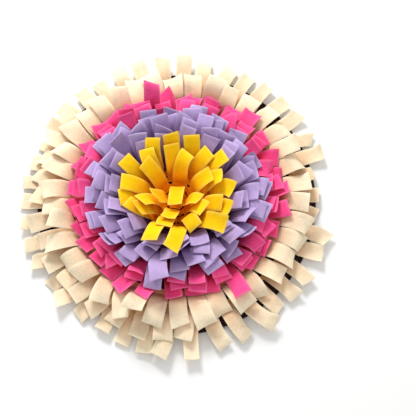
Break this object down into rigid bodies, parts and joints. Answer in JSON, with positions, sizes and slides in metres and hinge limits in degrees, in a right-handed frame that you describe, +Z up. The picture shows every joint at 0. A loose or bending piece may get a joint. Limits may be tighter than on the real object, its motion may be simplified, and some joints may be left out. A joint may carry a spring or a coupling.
{
  "type": "snuffle mat",
  "caption": "Round pet foraging mat that lies flat, with rings of soft felt strips, yellow in the middle, then purple, pink and cream, sewn on a dark cloth disc",
  "frame": {"origin": "middle of the box round the mat, on the surface that it lies on", "axes": "+Z is up, out of the pile; +Y points to the mat's far side as the picture shows it"},
  "size_m": [0.4464, 0.4672, 0.0819],
  "materials": {
    "base": "dark brown, almost black cloth",
    "cream": "cream felt",
    "pink": "bright pink felt",
    "purple": "lavender purple felt",
    "yellow": "warm yellow felt"
  },
  "bodies": {
    "root": {"base_disc": "base", "fringe_cream_lower": "cream", "fringe_cream_middle": "cream", "fringe_cream_upper": "cream", "fringe_pink_outer": "pink", "fringe_pink_middle": "pink", "fringe_pink_inner": "pink", "fringe_purple_outer": "purple", "fringe_purple_second": "purple", "fringe_purple_third": "purple", "fringe_purple_fourth": "purple", "fringe_purple_inner": "purple", "fringe_yellow_outer": "yellow", "fringe_yellow_middle": "yellow", "fringe_yellow_inner": "yellow", "fringe_yellow_core": "yellow"}
  },
  "joints": []
}
